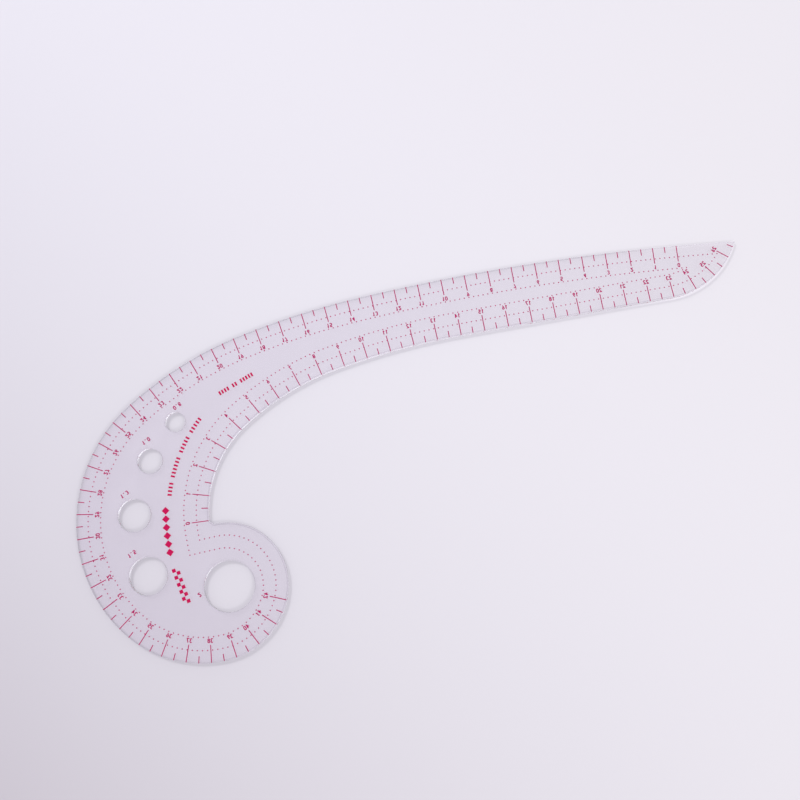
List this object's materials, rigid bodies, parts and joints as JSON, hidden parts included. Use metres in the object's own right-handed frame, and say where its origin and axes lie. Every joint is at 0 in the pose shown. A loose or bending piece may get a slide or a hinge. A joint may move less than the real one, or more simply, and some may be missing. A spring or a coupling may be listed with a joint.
{
  "type": "french curve",
  "caption": "Clear plastic french curve in a comma shape, with printed edge scales, dotted allowance lines and round template holes.",
  "frame": {"origin": "middle of the outline's bounding box, on the underside of the sheet", "axes": "+X along the longest extent, towards the tip of the blade; +Y towards the back of the blade; +Z out of the printed face"},
  "size_m": [0.2958, 0.11, 0.002],
  "materials": {
    "clear_plastic": "clear polished acrylic sheet, faint violet-grey tint",
    "printed_ink": "thin screen-printed crimson ink"
  },
  "bodies": {
    "root": {"curve_plate": "clear_plastic", "outer_scale_numbered_ticks": "printed_ink", "outer_scale_half_ticks": "printed_ink", "outer_scale_numerals": "printed_ink", "inner_scale_numbered_ticks": "printed_ink", "inner_scale_half_ticks": "printed_ink", "inner_scale_numerals": "printed_ink", "dotted_line_5_mm": "printed_ink", "dotted_line_10_mm": "printed_ink", "hole_size_numerals": "printed_ink", "long_caption_bars": "printed_ink", "short_caption_bars": "printed_ink", "lozenge_marks": "printed_ink", "checker_bar": "printed_ink"}
  },
  "joints": []
}
